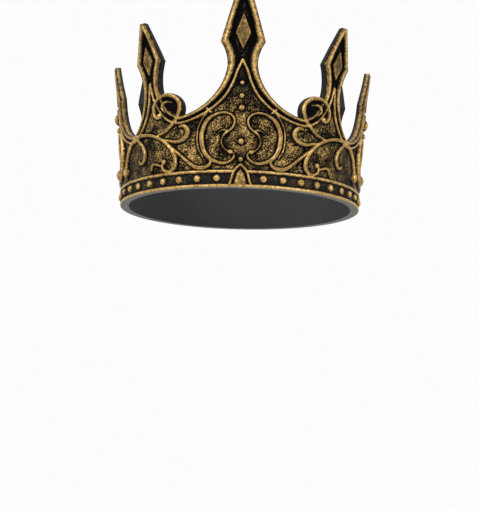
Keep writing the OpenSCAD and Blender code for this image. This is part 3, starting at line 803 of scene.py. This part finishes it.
def edge_sheets(ring, is_top, is_base):
    """Rows of points round the upper edge and the base, from the outside of the wall to its inside."""
    outward = left_normals(np.vstack([ring, ring[:2]]))[: len(ring)]
    outward[[0, is_top.sum() - 1]] = [0, 1]
    by_low = abs(ring[:, 0] - LOW_CENTRE) < LOW_HALF
    rows = []
    for depth, bulge, gold, low_gold, low_grey in EDGE_ROWS:
        step = np.where(is_top, bulge, 0.0)
        u = np.clip(ring[:, 0] + outward[:, 0] * step, 0, HALF_ROUND)
        z = np.maximum(ring[:, 1] + outward[:, 1] * step, 0)
        crest = np.where(is_base, 0.0, np.where(by_low, low_gold, gold))
        grey = np.where(is_base, 0.0, np.where(by_low, low_grey, EDGE_GREY))
        rows.append(sheet(u, z, -depth * wall_at(ring[:, 1]), crest, EDGE_FOOT, EDGE_BARE, grey, is_base))
    return rows


def mirrored_whole(half):
    """Mirrors the right half, joins the two and smooths the skin."""
    bpy.context.view_layer.objects.active = half
    half.select_set(True)
    mirror = half.modifiers.new("other_half", "MIRROR")
    mirror.merge_threshold = 1e-5
    bpy.ops.object.modifier_apply(modifier=mirror.name)
    bpy.ops.object.mode_set(mode="EDIT")
    bpy.ops.mesh.select_all(action="SELECT")
    bpy.ops.mesh.remove_doubles(threshold=2e-6)
    bpy.ops.mesh.delete_loose()
    bpy.ops.mesh.select_all(action="SELECT")
    bpy.ops.mesh.normals_make_consistent(inside=False)
    bpy.ops.object.mode_set(mode="OBJECT")
    bpy.ops.object.shade_smooth_by_angle(angle=SMOOTH_ANGLE)


def model_crown():
    """The crown as one closed skin: relief outside, edges, and a plain inside."""
    ring, is_top, is_base = outline_ring()
    flat, faces = triangulated(ring, plate_creases(), drawing_points(), GAP)
    shape = Relief(flat)
    sheets = [sheet(*flat.T, shape.height, shape.crest, shape.foot, shape.bare, shape.grey, 0.0)]
    sheets += edge_sheets(ring, is_top, is_base)
    u, z = np.meshgrid(np.arange(2, HALF_ROUND, INNER_STEP), np.arange(3, TALL.tip_z, INNER_STEP))
    inner, inner_faces = triangulated(ring, [], [np.column_stack([u.ravel(), z.ravel()])], INNER_GAP)
    sheets.append(sheet(*inner.T, -wall_at(inner[:, 1]), *INSIDE_VALUES))

    # The ring's points come first in every sheet, so quads between sheets close the edges
    starts = np.cumsum([0] + [len(points) for points in sheets[:-1]]).tolist()
    faces += [tuple(starts[-1] + k for k in reversed(f)) for f in inner_faces]
    on_edge = is_top & np.roll(is_top, -1) | is_base & np.roll(is_base, -1)
    for i in np.flatnonzero(on_edge).tolist():
        j = (i + 1) % len(ring)
        for low, high in zip(starts, starts[1:]):
            faces.append((low + i, low + j, high + j, high + i))

    u, z, d, *paint = np.vstack(sheets).T
    mesh = bpy.data.meshes.new("crown")
    mesh.from_pydata(wrapped(u, z, d).tolist(), [], faces)
    for name, values in zip(PAINT_VALUES, paint):
        mesh.attributes.new(name, "FLOAT", "POINT").data.foreach_set("value", values.copy())
    crown = bpy.data.objects.new("crown_relief", mesh)
    bpy.context.collection.objects.link(crown)
    mirrored_whole(crown)
    return crown


class Value:
    """A socket of a material's nodes, with Python's operators."""

    def __init__(self, tree, socket):
        self.tree = tree
        self.socket = socket

    def node(self, kind, settings=None, inputs=None, output=0):
        """A node of any type, its settings made first, then its sockets filled or linked."""
        made = self.tree.nodes.new(kind)
        for name, value in (settings or {}).items():
            setattr(made, name, value)
        for name, value in (inputs or {}).items():
            if isinstance(value, Value):
                self.tree.links.new(value.socket, made.inputs[name])
            else:
                made.inputs[name].default_value = value
        return Value(self.tree, made.outputs[output])

    def maths(self, operation, *values):
        return self.node("ShaderNodeMath", {"operation": operation}, dict(enumerate(values)))

    def __add__(self, other):
        return self.maths("ADD", self, other)

    __radd__ = __add__

    def __mul__(self, other):
        return self.maths("MULTIPLY", self, other)

    __rmul__ = __mul__

    def __sub__(self, other):
        return self.maths("SUBTRACT", self, other)

    def __rsub__(self, other):
        return self.maths("SUBTRACT", other, self)

    def larger(self, other):
        return self.maths("MAXIMUM", self, other)

    def smaller(self, other):
        return self.maths("MINIMUM", self, other)

    def rising(self, low, high):
        """0 below low, 1 above high, smooth between."""
        return self.node(
            "ShaderNodeMapRange",
            {"interpolation_type": "SMOOTHSTEP"},
            {"Value": self, "From Min": low, "From Max": high},
        )

    def blend(self, low, high):
        """A colour between low and high."""
        return self.node("ShaderNodeMix", {"data_type": "RGBA"}, {0: self, 6: low, 7: high}, 2)


def new_material(name):
    """A material with nodes, its tree and its main shader."""
    material = bpy.data.materials.new(name)
    material.use_nodes = True
    tree = material.node_tree
    return material, tree, tree.nodes["Principled BSDF"]


def antique_gold():
    """Black-brown wash in the hollows, gold rubbed over crests and flecked over a grained ground. Painted
    highlights brighten rim crests, stroke shoulders and stud rings, and painted shade joins the wash near
    every foot.
    """
    material, tree, shader = new_material("antique_gold")
    start = Value(tree, None)
    place = start.node("ShaderNodeTexCoord", output="Object")

    def attribute(name):
        return start.node("ShaderNodeAttribute", {"attribute_name": name}, output="Fac")

    def noise(scale, detail, rough):
        return start.node(
            "ShaderNodeTexNoise", None,
            {"Vector": place, "Scale": scale, "Detail": detail, "Roughness": rough},
        ) - 0.5

    crest, foot, bare = attribute("crest"), attribute("foot"), attribute("bare")
    inner, under = attribute("inner"), attribute("under")
    grain = noise(1250, 1.5, 0.5)
    dust = noise(3300, 1.0, 0.5)
    cloud = noise(120, 2.0, 0.5)
    wear = noise(420, 2.0, 0.55)

    rubbed = crest + wear * 0.8 + grain * 1.1 + cloud * 0.3 + dust * 0.6
    # No flecks near a foot: the ground there stays dark, partly as the wash and partly as painted shade
    field_past_foot_shade = foot.rising(-0.1, 1.5) * (1 - bare)
    flecks = (field_past_foot_shade * 0.14 + grain * 4.4 + dust * 3.4 + cloud * 3.0 + wear * 0.9).smaller(1.05)
    rub = (rubbed * crest.rising(0.0, 0.3)).larger(flecks * field_past_foot_shade) * (1 - inner)

    # The inner value is 1 inside, and also carries the grey of the groove and the edges and, at the sides, a
    # painted sheen on the wash
    colour = inner.blend(WASH, INSIDE)
    for low, high, tone in COATS_AND_HIGHLIGHT:
        colour = rub.rising(low, high).blend(colour, tone)
    colour = under.blend(colour, UNDERSIDE)

    gold = rub.rising(0.3, 0.9)
    tree.links.new(colour.socket, shader.inputs["Base Color"])
    tree.links.new((gold * 0.6).socket, shader.inputs["Metallic"])
    tree.links.new((0.56 - gold * 0.16 + dust * 0.25).socket, shader.inputs["Roughness"])
    shader.inputs["Specular IOR Level"].default_value = 0.025

    depth = grain * (1 - crest * 0.8) * (1 - inner * 0.8) + dust * 0.3 + wear * crest * 0.5
    bump = start.node(
        "ShaderNodeBump", None, {"Height": depth, "Strength": 0.6, "Distance": 0.00045}, output="Normal",
    )
    tree.links.new(bump.socket, shader.inputs["Normal"])
    return material


def pale_floor():
    """A pale floor that shows from above only, so that a low camera and the light from below pass it. It
    fades into the white surroundings."""
    bpy.ops.mesh.primitive_plane_add(size=FLOOR_SIZE, location=(0, 0, -FLOOR_DROP))
    floor = bpy.context.object
    floor.name = "floor"
    material, tree, shader = new_material("pale_floor")
    shader.inputs["Base Color"].default_value = (0.86, 0.86, 0.86, 1)
    shader.inputs["Roughness"].default_value = 0.7
    start = Value(tree, None)
    behind = start.node("ShaderNodeNewGeometry", output="Backfacing")
    camera = start.node("ShaderNodeLightPath", output="Is Camera Ray")
    place = start.node("ShaderNodeTexCoord", output="Object")
    away = start.node("ShaderNodeVectorMath", {"operation": "LENGTH"}, {0: place}, "Value")
    hidden = behind.larger(1 - camera).larger(away.rising(*FLOOR_FADE))
    clear = start.node("ShaderNodeBsdfTransparent")
    mixed = start.node("ShaderNodeMixShader", None, {0: hidden, 1: Value(tree, shader.outputs[0]), 2: clear})
    tree.links.new(mixed.socket, tree.nodes["Material Output"].inputs["Surface"])
    floor.data.materials.append(material)


def light_world():
    """White surroundings, which light the crown less than they show."""
    world = bpy.data.worlds.new("studio")
    world.use_nodes = True
    bpy.context.scene.world = world
    tree = world.node_tree
    start = Value(tree, None)
    camera = start.node("ShaderNodeLightPath", output="Is Camera Ray")
    mirrored = start.node("ShaderNodeLightPath", output="Is Glossy Ray")
    clear = start.node("ShaderNodeLightPath", output="Is Transmission Ray")
    seen = camera.larger(mirrored).larger(clear)
    sky = tree.nodes["Background"]
    tree.links.new((SKY_LIGHT + seen * (SKY_SHOWN - SKY_LIGHT)).socket, sky.inputs["Strength"])
    sky.inputs["Color"].default_value = (1, 1, 1, 1)


def soft_light(name, place, aim, size, power):
    """A rectangular lamp that faces its aim."""
    bpy.ops.object.light_add(type="AREA", location=place)
    lamp = bpy.context.object
    lamp.name = name
    lamp.rotation_euler = (Vector(aim) - Vector(place)).to_track_quat("-Z", "Y").to_euler()
    lamp.data.shape = "RECTANGLE"
    lamp.data.size, lamp.data.size_y = size
    lamp.data.energy = power


def photo_camera():
    """The photograph's camera: a little below the band, turned slightly, looking at the base's centre."""
    distance, below, roll = 1.15705, math.radians(8.93), math.radians(1.35)
    back = Vector((0, -math.cos(below), -math.sin(below)))
    up = Vector((0, -math.sin(below), math.cos(below)))
    across = Vector((1, 0, 0))
    right = across * math.cos(roll) + up * math.sin(roll)
    top = up * math.cos(roll) - across * math.sin(roll)
    data = bpy.data.cameras.new("camera")
    camera = bpy.data.objects.new("camera", data)
    bpy.context.collection.objects.link(camera)
    turned = Matrix((right, top, back)).transposed().to_4x4()
    camera.matrix_world = Matrix.Translation(back * distance) @ turned
    data.sensor_width = 36
    data.lens = 108.26
    data.shift_x = -0.0007
    data.shift_y = -0.089
    bpy.context.scene.camera = camera


crown = model_crown()
crown.data.materials.append(antique_gold())
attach(crown, "root")
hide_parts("crown")

pale_floor()
light_world()
soft_light("key", place=(-0.9, -1.1, 0.9), aim=(0, 0, 0.06), size=(0.9, 0.9), power=16)
soft_light("fill", place=(1.1, -0.9, 0.5), aim=(0, 0, 0.06), size=(0.8, 1.0), power=9)
soft_light("top", place=(0, 0.3, 1.4), aim=(0, 0, 0.05), size=(1.0, 1.0), power=8)
photo_camera()
bpy.context.scene.view_settings.view_transform = "Standard"
